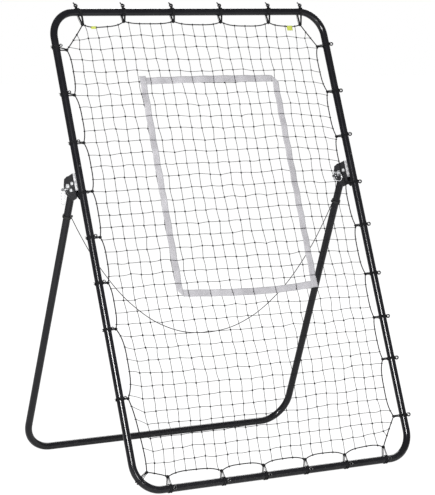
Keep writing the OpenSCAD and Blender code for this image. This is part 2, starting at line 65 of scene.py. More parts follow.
RAIL = centre("bottom_rail")
SLOPE = centre("top_rail") - RAIL
UP = SLOPE.normalized()
FRONT = Vector((1, 0, 0)).cross(UP)
SLOPE_L = SLOPE.length
HALF_W = centre("side_tube_right").x
TUBE_R = 0.0125
FRAME_AXES = np.array([(1, 0, 0), UP, FRONT])

ROPE_INSET = 0.038
ROPE_D = 0.004
ROPE_LAY = 0.014        # length in which a strand goes round once
ROPE_STEP = 0.002       # between points along it
HEADING_STEP = 0.003    # to either side of a place, to find the rope's heading there
TIE_D = 0.0022
TIE_R, TIE_THIN_R = TIE_D / 2, 0.0007
TIE_GAP = 0.0003        # between a tie and what it goes round
TUBE_FACE = TUBE_R + TIE_GAP + TIE_D
FRAME_BEND = 0.090
HIGHLIGHT_BAND = (-0.0131, -0.0129)         # where the painted highlight strip on a bracket begins, to the front of the frame

# Ties, clockwise from the top left. Each has its place along the rope, its place along the tube,
# how far in from the tube it holds the rope, and the dip of the span after it, as a share.
TOP_TIES = ((-0.423, -0.436, 0.043, 0.090), (-0.264, -0.258, 0.033, 0.045),
            (-0.071, -0.068, 0.034, 0.060), (0.118, 0.125, 0.037, 0.073),
            (0.314, 0.325, 0.040, 0.076), (0.445, 0.459, 0.049, 0.010))
RIGHT_TIES = ((1.483, 1.493, 0.038, 0.080), (1.314, 1.317, 0.035, 0.063),
              (1.148, 1.156, 0.036, 0.070), (0.978, 0.980, 0.036, 0.060),
              (0.822, 0.824, 0.033, 0.072), (0.647, 0.648, 0.034, 0.058),
              (0.491, 0.490, 0.036, 0.052), (0.343, 0.343, 0.036, 0.087),
              (0.142, 0.141, 0.040, 0.010))
BOTTOM_TIES = ((0.430, 0.425, 0.042, 0.089), (0.268, 0.264, 0.033, 0.090),
               (0.109, 0.103, 0.035, 0.080), (-0.054, -0.057, 0.034, 0.085),
               (-0.216, -0.217, 0.034, 0.070), (-0.417, -0.419, 0.038, 0.030))
CORNER_TIE = (-0.490, 0.060, 0.036)
LEFT_TIES = ((0.303, 0.303, 0.029, 0.096), (0.532, 0.532, 0.031, 0.066),
             (0.686, 0.686, 0.033, 0.070), (0.839, 0.839, 0.035, 0.053),
             (0.995, 0.987, 0.037, 0.070), (1.161, 1.161, 0.038, 0.075),
             (1.326, 1.330, 0.036, 0.070), (1.483, 1.495, 0.038, 0.015))
SPAN_POWER = 3.4        # the higher, the flatter the middle of the rope between two ties

# Cords of a tie on each side of the frame: place along the tube, along the rope, and radius.
PAIR = ((-0.0012, -0.0012, TIE_R), (0.0012, 0.0012, TIE_R))
TIE_CORDS = {"top": PAIR + ((0.0035, 0.0035, TIE_R),), "right": PAIR, "left": PAIR,
             "bottom": ((-0.0050, -0.0012, TIE_R), (0.0050, 0.0012, TIE_R),
                        (0.0028, 0.0034, TIE_THIN_R))}
SLANT_ON_TUBE, SLANT_ON_ROPE = 0.0056, 0.0027   # the slanting thin cord at the top and the right
BAND_AT = 0.0036        # turns that hold a tie on the tube, to either side of its middle
KNOT_AT, KNOT_OVER = 0.0034, 0.0018     # the same on the rope, and the turn over those
KNOT_LEAN = 100 / 3     # how far those turns lean, by their place along the rope
TIE_SPREAD = 0.001      # how much the ties differ

# The loop that ends a tie: its middle, the way it faces, its width and thickness, and how much
# its slip along the tube turns it. Places are out from the tube, along it and to the front.
TIE_LOOPS = {"top": ((TUBE_FACE + 0.0085, -0.001, 0.001), (-0.1, -0.2, 1), (0.0150, 0.0064), 60),
             "right": ((TUBE_FACE + 0.0080, 0, 0.0005), (-0.5, 0.2, 0.83), (0.0150, 0.0052), 90),
             "bottom": ((0.001, -0.0125, TUBE_FACE + 0.0006), (0.1, 0.3, 1), (0.0145, 0.0050), 0),
             "left": ((-0.0145, 0.003, 0.0098), (0.4, 0, 1), (0.0115, 0.0038), 0)}

# Short cords at the loops, each a line and a radius. Places are out from the tube's face.
TIE_STUBS = {"top": ((((-0.002, 0.0012, 0), (0.001, 0.0004, 0.0005), (0.004, -0.0016, 0.001)),
                      0.0042),
                     (((0.013, -0.004, 0.0012), (0.0165, -0.0066, 0.0012),
                       (0.0195, -0.0088, 0.0008)), 0.0021)),
             "right": ((((-0.003, 0.001, 0.001), (0, 0.0006, 0.001), (0.003, 0.0002, 0.0006)),
                        0.0028),),
             "bottom": (),
             "left": tuple((((-0.001, at, 0), (0.002, at * 1.1, 0.0003),
                             (0.005, at * 1.3, 0.0005)), 0.0010) for at in (-0.0024, 0.0024))}

# Tags on the rope: place along the top, width, and drop below the rope's middle.
TAGS = ((-0.384, 0.018, 0.006), (0.398, 0.022, 0.015))
TAG_REACH = ROPE_D / 2 + 0.0008
TAG_SEAM, TAG_HEM = 0.007, 0.001        # the seam's drop, and how much of the tag is left below
TAG_GAPS = (0.0004, 0.0006)             # half the gap in it at its end and at the seam

# The strike zone: the middle line of its ribbon, and how far it hangs out of square: the sag of
# the bottom, the rise of the top, the lift at the bottom's left end, and the lean of the two sides.
RIBBON_W = 0.024
TAPE_T = 0.0005
ZONE_LEFT, ZONE_RIGHT = -0.232, 0.294
ZONE_LOW, ZONE_HIGH = 0.628, 1.369
ZONE_SAG, ZONE_RISE, ZONE_CURL = 0.009, 0.003, 0.006
SAG_POWER, CURL_POWER = 1.5, 8
ZONE_LEAN = (0.011, 0.006)
ACROSS_TAPE = 7         # points across the ribbon
TAPE_STEP = 0.005       # between rows of points along it
WEAVE = 0.0016          # how far it passes before and behind the twine
WEAVE_EASE = 0.02       # and over what length that sets in from an end
FOLD_ANGLES = (0.8, 1.57, 2.34)         # rows round a fold
LAYER = 0.0005          # lift of a ribbon where two lie on each other
LAP = 1.2               # the same for its laps, in layers
HEM_ROWS, HEM_RISE, HEM_GAP = 7, 0.005, 0.0014      # the hem at the free end

# Net: stretches of so many meshes each. The lines between stretches lie behind the ribbons.
COLUMNS = ((-HALF_W + ROPE_INSET, 6, -0.2455), (-0.2455, 13, 0.299),
           (0.299, 5, HALF_W - ROPE_INSET))
ROWS = ((ROPE_INSET, 14, 0.624), (0.624, 18, 1.3626), (1.3626, 5, SLOPE_L - ROPE_INSET))
TUCKED_COLUMNS = (6, 19)
TUCKED_ROWS = (14, 32)
TUCK = 0.0032           # how far the twine beneath a ribbon lies behind the net
TWINE_D = 0.0019
TWINE_BOW = 0.022       # spread of a mesh side's bow, as a share of its length
NET_SAG, NET_SAG_POWER = 0.005, 0.7
KNOT_L = 0.0069
KNOT_SPREAD = 0.0016
KNOT_SHAPE = (0.52, 0.6, 1.0)
KNOT_TURNS = ((0.7, 0.0003), (-0.6, -0.0003))   # lean of each turn, and its place to the front
KNOT_SIZES = (0.85, 1.15)
ROW_APART = 0.009       # least distance between two lines where they meet the rope
EASING_ROUNDS = 1500
# How far the slack net strays from an even grid, in mm to the right and mm up the slope, at
# places spread evenly over it: rows from the bottom to the top, each from left to right.
STRAY_RIGHT = ((-4, -23, -25, -34, -2), (-5, -5, 2, 1, 2), (-2, -11, -7, 2, 3),
               (-2, -4, -6, -5, 3), (-2, -4, 1, 2, 4), (0, -1, -4, -1, 3))
STRAY_UP = ((-1, -3, -2, -1, -1), (9, -3, -9, -7, -2), (0, 2, -4, -9, -16),
            (0, 1, 1, 1, -10), (2, 11, 4, 5, -14), (1, 3, 3, 1, -2))
# How far up the rope the rows' ends are tied, in mm, by the row's number.
LEFT_RISE = ((0, 2, 4, 5, 7, 10, 13), (0, 16, 24, 24, 8, 8, 0))
RIGHT_RISE = ((0, 3, 8, 16, 24, 30, 36), (0, 0, 0, 0, -6, -8, -10))

# Route of the hanging cord in its upright plane, as in the solid model.
CORD_Y = 0.068
CORD_HALF = ((0.524, 0.853), (0.516, 0.838), (0.500, 0.808), (0.480, 0.773), (0.450, 0.724),
             (0.420, 0.681), (0.385, 0.636), (0.350, 0.595), (0.315, 0.560), (0.280, 0.530),
             (0.240, 0.500), (0.200, 0.475), (0.160, 0.456), (0.120, 0.441), (0.080, 0.431),
             (0.040, 0.426))
CORD_LOW = 0.424
CORD_D = 0.0028

# Camera: place, bearing, tilt down (degrees), lens and sensor (mm).
CAMERA_AT = (-3.799, RAIL.y - 5.838, RAIL.z + 1.5485)
CAMERA_BEARING, CAMERA_TILT = 31.37, 6.55
LENS, SENSOR = 156.74, 36

# Light: the room as seen by dull surfaces and by shiny ones, the floor's glow, and the lamps, each
# with its place, size and power.
ROOM_LIGHT, GLOSS_LIGHT = 0.40, 0.29
FLOOR_GLOW, GLOW_SHARE = 1.13, 0.86
FLOOR = ((-30, -30, 0), (30, -30, 0), (30, 30, 0), (-30, 30, 0))
LAMPS = (("key", (-2.87, -4.02, 2.6), 1.0, 350), ("fill", (-1.0, -4.6, 1.0), 0.5, 60),
         ("rear", (2.5, 3.5, 3.0), 2.5, 110))
LAMPS_AIM = Vector((0, 0, 0.8))


def on_frame(points):
    """Row-frame places of (x, s, front) points on the leaning frame."""
    return points @ FRAME_AXES + (0, RAIL.y, RAIL.z)


def put(name, data):
    thing = bpy.data.objects.new(name, data)
    bpy.context.scene.collection.objects.link(thing)
    return thing


# ---- camera ----


def aim_camera():
    bearing, tilt = math.radians(CAMERA_BEARING), math.radians(CAMERA_TILT)
    camera = put("camera", bpy.data.cameras.new("camera"))
    camera.data.sensor_width, camera.data.lens = SENSOR, LENS
    camera.data.clip_start, camera.data.clip_end = 0.1, 100
    camera.location = CAMERA_AT
    ahead = Vector((math.sin(bearing) * math.cos(tilt), math.cos(bearing) * math.cos(tilt),
                    -math.sin(tilt)))
    camera.rotation_euler = ahead.to_track_quat("-Z", "Y").to_euler()
    bpy.context.scene.camera = camera


# ---- shaders ----


class Value:
    """A number that varies over a surface. Arithmetic on it adds Math nodes."""

    def __init__(self, nodes, socket):
        self.nodes, self.socket = nodes, socket

    def math(self, operation, *values):
        node = self.nodes.add("ShaderNodeMath", {"operation": operation}, *values)
        return Value(self.nodes, node.outputs[0])

    def __add__(self, other): return self.math("ADD", self, other)
    def __radd__(self, other): return self.math("ADD", self, other)
    def __sub__(self, other): return self.math("SUBTRACT", self, other)
    def __rsub__(self, other): return self.math("SUBTRACT", other, self)
    def __mul__(self, other): return self.math("MULTIPLY", self, other)
    def __abs__(self): return self.math("ABSOLUTE", self)
    def wave(self): return self.math("SINE", self)
    def at_least(self, other): return self.math("MAXIMUM", self, other)

    def between(self, low, high):
        """0 at low and 1 at high, eased."""
        node = self.nodes.add("ShaderNodeMapRange", {"interpolation_type": "SMOOTHSTEP"},
                              self, low, high, 0.0, 1.0)
        return Value(self.nodes, node.outputs[0])


class Nodes:
    """Adds nodes to a tree, each with its settings, values and links."""

    def __init__(self, tree):
        self.tree = tree

    def plug(self, socket, value):
        if isinstance(value, Value):
            value = value.socket
        if isinstance(value, bpy.types.NodeSocket):
            self.tree.links.new(value, socket)
        elif value is not None:
            socket.default_value = (*value, 1) if socket.type == "RGBA" else value

    def add(self, kind, settings=None, *inputs, **named):
        node = self.tree.nodes.new(kind)
        for name, value in (settings or {}).items():
            setattr(node, name, value)
        for socket, value in zip(node.inputs, inputs):
            self.plug(socket, value)
        for name, value in named.items():
            self.plug(node.inputs[name.replace("_", " ")], value)
        return node


class Finish(Nodes):
    """One material: a Principled shader and the nodes that vary it."""

    def __init__(self, name, **shader):
        self.material = bpy.data.materials.new(name)
        self.material.use_nodes = True
        super().__init__(self.material.node_tree)
        self.shader = self.tree.nodes["Principled BSDF"]
        self.set(**shader)

    def set(self, **sockets):
        for name, value in sockets.items():
            self.plug(self.shader.inputs[name.replace("_", " ")], value)

    def place(self):
        return self.add("ShaderNodeTexCoord").outputs["Object"]

    def axes(self, vector):
        return [Value(self, s) for s in self.add("ShaderNodeSeparateXYZ", None, vector).outputs]

    def along_and_around(self):
        """Metres along a swept piece, and the share of the way around it."""
        u, v, _ = self.axes(self.add("ShaderNodeUVMap", {"uv_map": "sweep"}).outputs[0])
        return v, u

    def noise(self, size, detail):
        node = self.add("ShaderNodeTexNoise", None, Vector=self.place(), Scale=1 / size,
                        Detail=detail)
        return Value(self, node.outputs[0])

    def blend(self, share, first, second):
        node = self.add("ShaderNodeMix", {"data_type": "RGBA"})
        for at, value in ((0, share), (6, first), (7, second)):
            self.plug(node.inputs[at], value)
        return node.outputs[2]

    def relief(self, height, depth, strength):
        node = self.add("ShaderNodeBump", None, Height=height, Distance=depth, Strength=strength)
        self.set(Normal=node.outputs[0])


def powder_coat():
    """Satin black coat with a faint orange peel, and rubbed lighter low down."""
    coat = Finish("powder_coat", Specular_IOR_Level=0.28)
    patches, grain = coat.noise(0.06, 3), coat.noise(0.0012, 1)
    height = coat.axes(coat.place())[2]
    rubbed = (1 - height.between(0.0, 0.05)) * coat.noise(0.004, 4).between(0.5, 0.75)
    black = coat.blend(patches.between(0.35, 0.7), (0.0045, 0.0045, 0.006),
                       (0.0065, 0.0065, 0.008))
    coat.set(Base_Color=coat.blend(rubbed * 0.5, black, (0.06, 0.058, 0.055)),
             Roughness=0.15 + patches * 0.05 + rubbed * 0.25)
    coat.relief(grain + patches * 0.5, 0.00002, 0.3)
    return coat.material


def bracket_coat():
    """The same black coat on the brackets, with a pale streaky strip painted where the plate meets
    the tube: a painted highlight.
    """
    coat = Finish("bracket_coat", Specular_IOR_Level=0.36)
    patches, grain = coat.noise(0.05, 3), coat.noise(0.0012, 1)
    _, y, z = coat.axes(coat.place())
    ahead = (y - RAIL.y) * FRONT.y + (z - RAIL.z) * FRONT.z
    # Painted highlight: in front of this line the bracket is coloured pale grey, a little metallic
    # and rougher.
    painted_highlight = ahead.between(*HIGHLIGHT_BAND)
    black = coat.blend(patches.between(0.35, 0.7), (0.009, 0.009, 0.011), (0.014, 0.014, 0.016))
    highlight_grey = coat.blend(coat.noise(0.009, 3).between(0.35, 0.65), (0.70, 0.70, 0.71),
                        (0.30, 0.30, 0.31))
    coat.set(Base_Color=coat.blend(painted_highlight, black, highlight_grey), Metallic=painted_highlight * 0.3,
             Roughness=0.22 + patches * 0.08 + painted_highlight * 0.2)
    coat.relief(grain + patches * 0.5, 0.00003, 0.4)
    return coat.material


def mottled(name, colours, patches, roughness, relief, eased=None, grain=None, **shader):
    """Two colours in soft patches of one size and detail. The patches also add to the roughness,
    and make the relief, unless it has a grain of its own."""
    finish = Finish(name, **shader)
    cloud = finish.noise(*patches)
    share = cloud.between(*eased) if eased else cloud
    plain, added = roughness
    finish.set(Base_Color=finish.blend(share, *colours), Roughness=plain + cloud * added)
    finish.relief(finish.noise(*grain) if grain else cloud, *relief)
    return finish.material


def turned_steel():
    """Plated steel with the fine rings that a lathe leaves."""
    steel = Finish("turned_steel", Metallic=1.0)
    x = steel.axes(steel.place())[0]
    rings = (x * (2 * math.pi / 0.00025)).wave()
    cloud = steel.noise(0.005, 3)
    steel.set(Base_Color=steel.blend(cloud.between(0.3, 0.7), (0.70, 0.71, 0.72),
                                     (0.60, 0.61, 0.62)),
              Roughness=0.24 + cloud * 0.15)
    steel.relief(rings, 0.00001, 0.5)
    return steel.material


def laid_rope():
    """Three strands laid round each other, with fibres running along each."""
    rope = Finish("laid_rope", Specular_IOR_Level=0.12)
    along, around = rope.along_and_around()
    groove = (around * (6 * math.pi)).wave()
    fibres = (along * (2 * math.pi / 0.0007) + around * (20 * math.pi)).wave()
    worn = rope.noise(0.012, 3)
    rope.set(Base_Color=rope.blend(worn.between(0.4, 0.7), (0.004, 0.004, 0.005),
                                   (0.010, 0.010, 0.011)),
             Roughness=0.62 + worn * 0.2)
    rope.relief(groove * 0.6 + fibres * 0.4, 0.00018, 0.8)
    return rope.material


def braided(name, pitch):
    """A black braided sheath: two sets of four strands that spiral opposite ways and cross."""
    braid = Finish(name, Specular_IOR_Level=0.12)
    along, around = braid.along_and_around()
    turn = along * (2 * math.pi / pitch)
    strands = around * (8 * math.pi)
    height = (turn + strands).wave().at_least((turn - strands).wave())
    # Painted shade: the grooves between the strands are coloured darker than the strand tops.
    braid.set(Base_Color=braid.blend(height.between(-0.2, 0.9), (0.004, 0.004, 0.005),
                                     (0.012, 0.012, 0.013)),
              Roughness=0.72 - height * 0.1)
    braid.relief(height, 0.00015, 0.9)
    return braid.material


def woven_tape(name, colour, shade, thread):
    """Woven tape: ribs across it, fine threads along it, and a firmer edge."""
    tape = Finish(name, Specular_IOR_Level=0.2, Sheen_Weight=0.2, Sheen_Roughness=0.4)
    along, across = tape.along_and_around()
    ribs = (along * (2 * math.pi / thread)).wave()
    threads = (across * (2 * math.pi * RIBBON_W / thread)).wave()
    edge = abs(across - 0.5).between(0.44, 0.48)
    stains = tape.noise(0.05, 3)
    weave = ribs * threads
    tape.set(Base_Color=tape.blend(stains.between(0.3, 0.7) * 0.5 + weave * 0.15 + edge * 0.25,
                                   colour, shade),
             Roughness=0.78 + weave * 0.08)
    tape.relief(weave * 0.6 + edge * 0.8 + ribs * 0.3, 0.00012, 0.8)
    return tape.material


# ---- swept pieces ----


def swept(path, radius, sides, closed=False, lay=None, lobes=0, lobe_depth=0.0):
    """A tube round a path, as (points, faces, uv of each face's corners). The uv is the share of
    the way around and the metres along. A laid rope turns its lobes once in each lay."""
    path = np.asarray(path, float)
    n = len(path)
    if closed:
        run = np.roll(path, -1, 0) - np.roll(path, 1, 0)
        steps = np.linalg.norm(np.roll(path, -1, 0) - path, axis=1)
    else:
        run = np.gradient(path, axis=0)
        steps = np.linalg.norm(np.diff(path, axis=0), axis=1)
    run /= np.linalg.norm(run, axis=1)[:, None]
    along = np.concatenate(([0], np.cumsum(steps)))
    side = np.cross(run[0], (0, 0, 1) if abs(run[0][2]) < 0.9 else (1, 0, 0))
    sides_of = np.empty_like(path)
    for i in range(n):
        side = side - run[i] * side.dot(run[i])
        side /= np.linalg.norm(side)
        sides_of[i] = side
    turn = np.zeros(n)
    if closed:
        back = sides_of[-1] - run[0] * sides_of[-1].dot(run[0])
        slip = math.atan2(np.cross(back, sides_of[0]).dot(run[0]), back.dot(sides_of[0]))
        turn += slip * along[:n] / along[n]
    if lay:
        turn += 2 * math.pi * round(along[-1] / lay) * along[:n] / along[-1]
    others = np.cross(run, sides_of)
    around = 2 * math.pi * np.arange(sides) / sides
    reach = radius * (1 + lobe_depth * np.cos(lobes * around))
    angle = around[None, :] + turn[:, None]
    ways = (np.cos(angle)[..., None] * sides_of[:, None, :]
            + np.sin(angle)[..., None] * others[:, None, :])
    points = path[:, None, :] + reach[None, :, None] * ways
    faces, corners = [], []
    for i in range(n if closed else n - 1):
        j = (i + 1) % n
        for k in range(sides):
            m = (k + 1) % sides
            faces.append((i * sides + k, i * sides + m, j * sides + m, j * sides + k))
            corners.extend(((k / sides, along[i]), ((k + 1) / sides, along[i]),
                            ((k + 1) / sides, along[i + 1]), (k / sides, along[i + 1])))
    if not closed:
        faces.append(tuple(range(sides - 1, -1, -1)))
        faces.append(tuple((n - 1) * sides + k for k in range(sides)))
        corners.extend([(0.5, 0.0)] * sides + [(0.5, along[-1])] * sides)
    return points.reshape(-1, 3), faces, corners


def join_swept(name, parts, material):
    """One mesh object from several swept parts."""
    points, faces, corners, first = [], [], [], 0
    for part_points, part_faces, part_corners in parts:
        points.append(part_points)
        faces.extend(tuple(v + first for v in f) for f in part_faces)
        corners.extend(part_corners)
        first += len(part_points)
    mesh = bpy.data.meshes.new(name)
    mesh.from_pydata(np.concatenate(points).tolist(), [], faces)
    layer = mesh.uv_layers.new(name="sweep")
    layer.data.foreach_set("uv", np.asarray(corners, np.float32).ravel())
    mesh.polygons.foreach_set("use_smooth", np.ones(len(mesh.polygons), bool))
    mesh.materials.append(material)
    mesh.update()
    return put(name, mesh)


def smooth_route(points, steps):
    """A Catmull-Rom curve through points."""
    points, route = np.array(points), []
    for i in range(len(points) - 1):
        a, b = points[max(i - 1, 0)], points[i]
        c, d = points[i + 1], points[min(i + 2, len(points) - 1)]
        for k in range(steps):
            t = k / steps
            route.append(0.5 * (2 * b + (c - a) * t + (2 * a - 5 * b + 4 * c - d) * t * t
                                + (3 * b - a - 3 * c + d) * t ** 3))
    route.append(points[-1])
    return np.array(route)


# ---- hanging cord ----


def hang_cord(material):
    points = ([(-x, CORD_Y, z) for x, z in CORD_HALF] + [(0, CORD_Y, CORD_LOW)]
              + [(x, CORD_Y, z) for x, z in reversed(CORD_HALF)])
    route = smooth_route(points, 4)
    cord = join_swept("slack_cord", [swept(route, CORD_D / 2, 8)], material)
    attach(cord, "stand")
    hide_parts("hanging_cord")
    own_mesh(cord)


# ---- border rope ----


Tie = namedtuple("Tie", "side on_rope on_tube out dip")


def tie_points():
    """Each tie's side of the frame, its place on the rope and on the tube's middle line, as
    (x, s), the way out from the rope to the tube, and the dip of the span after it."""
    ties = []
    for side, places, way in (("top", TOP_TIES, (0, 1)), ("right", RIGHT_TIES, (1, 0)),
                              ("bottom", BOTTOM_TIES, (0, -1)), ("left", LEFT_TIES, (-1, 0))):
        way = np.array(way, float)
        run = abs(way[::-1])
        middle = np.array((0, SLOPE_L / 2)) + way * np.array((HALF_W, SLOPE_L / 2))
        base = middle * abs(way)
        if side == "left":
            x, s, dip = CORNER_TIE
            bend = np.array((-HALF_W + FRAME_BEND, FRAME_BEND))
            out = np.array((x, s)) - bend
            out /= np.linalg.norm(out)
            ties.append(Tie("bottom", np.array((x, s)), bend + out * FRAME_BEND, out, dip))
        ties.extend(Tie(side, base + run * on_rope - way * inset, base + run * on_tube, way, dip)
                    for on_rope, on_tube, inset, dip in places)
    return ties


def rope_line():
    """The rope's line in (x, s): a flat arc between each two ties. Also the number along it of
    each tie, and of the middle of the span after each tie."""
    ties = tie_points()
    line, at_tie, mid_span = [], [], []
    for i, tie in enumerate(ties):
        span = ties[(i + 1) % len(ties)].on_rope - tie.on_rope
        inward = tie.dip * np.array((span[1], -span[0]))
        count = max(2, round(np.linalg.norm(span) / ROPE_STEP))
        at_tie.append(len(line))
        mid_span.append(len(line) + count // 2)
        for k in range(count):
            t = k / count
            line.append(tie.on_rope + span * t + inward * (1 - abs(2 * t - 1) ** SPAN_POWER))
    line = np.array(line)
    eased = sum(np.roll(line, k, 0) for k in range(-2, 3)) / 5
    return eased, at_tie, mid_span


def flat_to_frame(line, front=0.0):
    """(x, s) points, and how far in front of the frame's plane, to row-frame places."""
    return on_frame(np.column_stack((line, np.broadcast_to(front, len(line)))))


def lay_border_rope(material):
    line, _, _ = rope_line()
    part = swept(flat_to_frame(line), ROPE_D / 2, sides=9, closed=True, lay=ROPE_LAY, lobes=3,
                 lobe_depth=0.10)
    rope = join_swept("laid_border_rope", [part], material)
    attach(rope, "target_frame")
    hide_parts("border_rope")


# ---- net ----


def mesh_places(stretches):
    """The places of the net's lines across a stretch of so many meshes each."""
    counts = np.cumsum([0] + [s[1] for s in stretches])
    places = [stretches[0][0]] + [s[2] for s in stretches]
    return np.interp(np.arange(counts[-1] + 1), counts, places)


def net_depth(x, s):
    """How far the net hangs behind the frame's plane."""
    across = np.clip((x + HALF_W) / (2 * HALF_W), 0, 1)
    up = np.clip(s / SLOPE_L, 0, 1)
    return -NET_SAG * np.sin(math.pi * across) * np.sin(math.pi * up) ** NET_SAG_POWER


def net_stray(across, up):
    """How far each crossing strays from the even grid, eased between the places given."""
    given = np.stack((STRAY_RIGHT, STRAY_UP), -1).transpose(1, 0, 2) / 1000
    for axis, count in ((0, across), (1, up)):
        at = np.linspace(0, given.shape[axis] - 1, count)
        low = np.minimum(at.astype(int), given.shape[axis] - 2)
        share = np.expand_dims(at - low, (1, 2) if axis == 0 else (0, 2))
        share = share * share * (3 - 2 * share) * 0.5 + share * 0.5
        given = given.take(low, axis) * (1 - share) + given.take(low + 1, axis) * share
    return given


def rope_stations(columns, rows, stray):
    """Where each of the net's lines meets the rope: (x, s) and the rope's heading there."""
    line, at_tie, mid_span = rope_line()
    top, right, bottom = len(TOP_TIES), len(RIGHT_TIES), len(BOTTOM_TIES)
    top_left, top_right = mid_span[-1], mid_span[top - 1]
    low_right, low_left = mid_span[top + right - 1], at_tie[top + right + bottom]
    n = len(line)
    left_rise, right_rise = (np.interp(np.arange(len(rows)), *rise) / 1000
                             for rise in (LEFT_RISE, RIGHT_RISE))
    stations = {}
    for name, start, end, axis, places in (
            ("top", top_left, top_right + n, 0, columns + stray[:, -1, 0]),
            ("right", top_right, low_right, 1, rows + stray[-1, :, 1] + right_rise),
            ("bottom", low_right, low_left, 0, columns + stray[:, 0, 0]),
            ("left", low_left, top_left, 1, rows + stray[0, :, 1] + left_rise)):
        side = line[np.arange(start, end + 1) % n]
        if side[-1, axis] < side[0, axis]:
            side = side[::-1]
        at = np.maximum.accumulate(side[:, axis])
        apart = ROW_APART * np.arange(len(places))
        places = np.clip(places, at[0] + apart, at[-1] - apart[::-1])
        points, ahead, behind = (np.column_stack([np.interp(places + step, at, side[:, k])
                                                  for k in (0, 1)])
                                 for step in (0, HEADING_STEP, -HEADING_STEP))
        stations[name] = (points, ahead - behind)
    return stations


def net_knots(rng):
    """(x, s) of every crossing: an even grid, strayed, and drawn out to meet the scalloped rope.
    Also where the lines meet the rope."""
    columns, rows = mesh_places(COLUMNS), mesh_places(ROWS)
    stray = net_stray(len(columns), len(rows))
    knots = np.stack(np.meshgrid(columns, rows, indexing="ij"), -1) + stray
    stations = rope_stations(columns, rows, stray)
    sides = (("top", (slice(None), -1), 1), ("bottom", (slice(None), 0), 1),
             ("left", (0, slice(None)), 0), ("right", (-1, slice(None)), 0))
    shift = np.zeros_like(knots)
    for name, side, axis in sides:
        shift[side][:, axis] = (stations[name][0] - knots[side])[:, axis]
    for _ in range(EASING_ROUNDS):
        shift[1:-1, 1:-1] = (shift[:-2, 1:-1] + shift[2:, 1:-1]
                             + shift[1:-1, :-2] + shift[1:-1, 2:]) / 4
    knots += shift
    knots[1:-1, 1:-1] += rng.normal(0, KNOT_SPREAD, knots[1:-1, 1:-1].shape)
    for name, side, _ in sides:
        knots[side] = stations[name][0]
    return knots, stations


def net_lines(knots, stations, rng):
    """The net's strands as a mesh of edges, with what each point carries. A strand that lies
    along under a ribbon is tucked behind it and has the knots there."""
    across, up = knots.shape[:2]
    made, edges = [], []

    def strand(nodes, ends, knotted, tucked):
        steps, last = 3, len(nodes) - 1
        for i, node in enumerate(nodes):
            at_end = i in (0, last)
            way = ends[i > 0] if at_end else nodes[i + 1] - nodes[i - 1]
            if i:
                edges.append((len(made) - 1, len(made)))
            made.append((node, knotted[i] and not at_end, at_end, way, tucked[i]))
            if i < last:
                run = nodes[i + 1] - node
                bow = np.array((-run[1], run[0])) * rng.normal(0, TWINE_BOW)
                for k in range(1, steps):
                    edges.append((len(made) - 1, len(made)))
                    t = k / steps
                    made.append((node + run * t + bow * 4 * t * (1 - t), False, False, run,
                                 tucked[i] * (1 - t) + tucked[i + 1] * t))

    first, last = TUCKED_COLUMNS
    low, high = TUCKED_ROWS
    row, column = np.arange(up), np.arange(across)
    beside = (row >= low) & (row <= high)
    between = (column > first) & (column < last)
    for i in range(1, across - 1):
        under_end = np.isin(row, TUCKED_ROWS) & between[i]
        strand(knots[i], (stations["bottom"][1][i], stations["top"][1][i]), ~under_end,
               TUCK * beside * (i in TUCKED_COLUMNS))
    for j in range(1, up - 1):
        along = between * (j in TUCKED_ROWS)
        strand(knots[:, j], (stations["left"][1][j], stations["right"][1][j]), along, TUCK * along)
    points, knot, loop, heading, tuck = (np.array(carried) for carried in zip(*made))
    places = flat_to_frame(points, np.where(loop, 0, net_depth(*points.T)) - tuck)
    headings = heading @ FRAME_AXES[:2]
    headings /= np.linalg.norm(headings, axis=1)[:, None]
    mesh = bpy.data.meshes.new("net_lines")
    mesh.from_pydata(places.tolist(), edges, [])
    for name, values in (("knot", knot), ("loop", loop)):
        layer = mesh.attributes.new(name, "BOOLEAN", "POINT")
        layer.data.foreach_set("value", values.astype(bool))
    layer = mesh.attributes.new("heading", "FLOAT_VECTOR", "POINT")
    layer.data.foreach_set("vector", headings.astype(np.float32).ravel())
    return mesh


